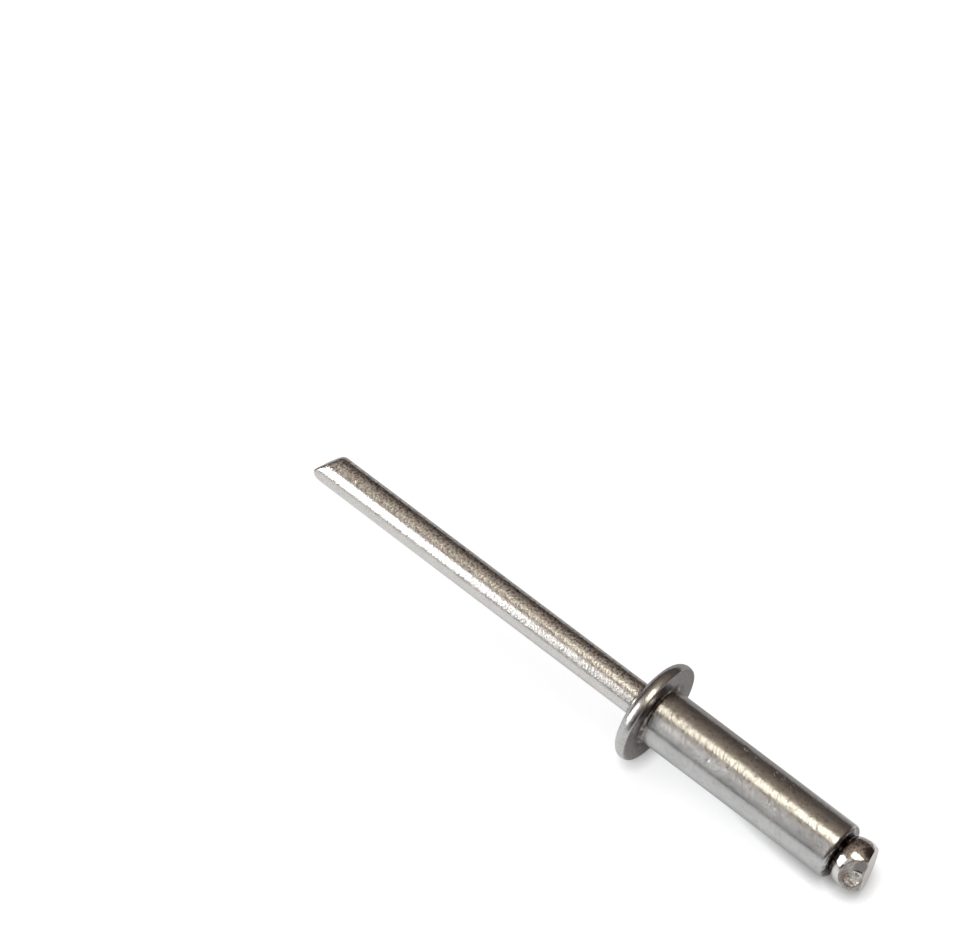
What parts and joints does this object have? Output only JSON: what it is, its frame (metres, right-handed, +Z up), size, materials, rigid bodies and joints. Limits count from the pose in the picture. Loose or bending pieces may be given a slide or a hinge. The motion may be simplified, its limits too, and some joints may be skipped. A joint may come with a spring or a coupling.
{
  "type": "blind rivet",
  "caption": "Unset open-end blind rivet: a tubular shank with a domed flange, on a wire mandrel with a ball head at the tail and a cropped pulling stem.",
  "frame": {"origin": "centre of the flange seat, on the rivet's axis", "axes": "+Z up, with the rivet lying as it comes to rest on the side of the flange and the tail; the tail points to +X and a little down, the mandrel tip to -X and a little up"},
  "size_m": [0.0545, 0.0086, 0.0092],
  "materials": {
    "body_steel": "tumbled satin stainless steel, bright at the rim, with fine scratches and small dings",
    "mandrel_steel": "drawn stainless wire with fine speckle and short scratches, bright ball head, rough cropped ends"
  },
  "bodies": {
    "root": {"rivet_body": "body_steel", "mandrel": "mandrel_steel"}
  },
  "joints": []
}
